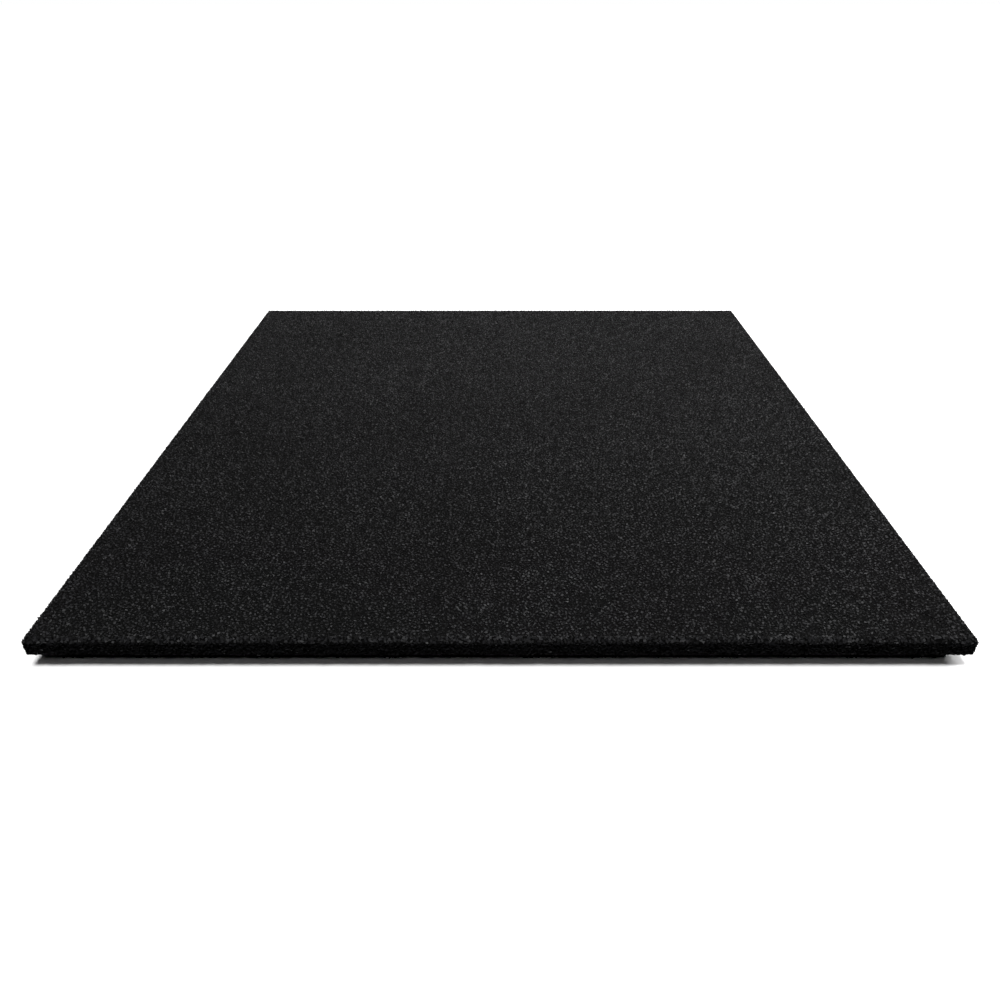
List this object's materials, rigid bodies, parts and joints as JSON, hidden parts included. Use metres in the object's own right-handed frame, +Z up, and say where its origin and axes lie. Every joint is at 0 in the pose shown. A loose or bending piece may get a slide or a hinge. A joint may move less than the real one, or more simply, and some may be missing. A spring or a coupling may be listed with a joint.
{
  "type": "rubber safety tile",
  "caption": "Square black safety tile of bonded rubber granulate with a bevelled top edge, a flat deck and drainage channels between the feet moulded on its underside.",
  "frame": {"origin": "centre of the tile on the floor that its feet stand on", "axes": "+Z up through the walking face, +X and +Y along the sides of the square; the side towards -Y faces the camera of the picture"},
  "size_m": [1, 1, 0.04],
  "materials": {
    "rubber_granulate": "matt, open-grained: pressed black rubber granules 1 to 4 mm across in a black binder"
  },
  "bodies": {
    "root": {"safety_tile": "rubber_granulate"}
  },
  "joints": []
}
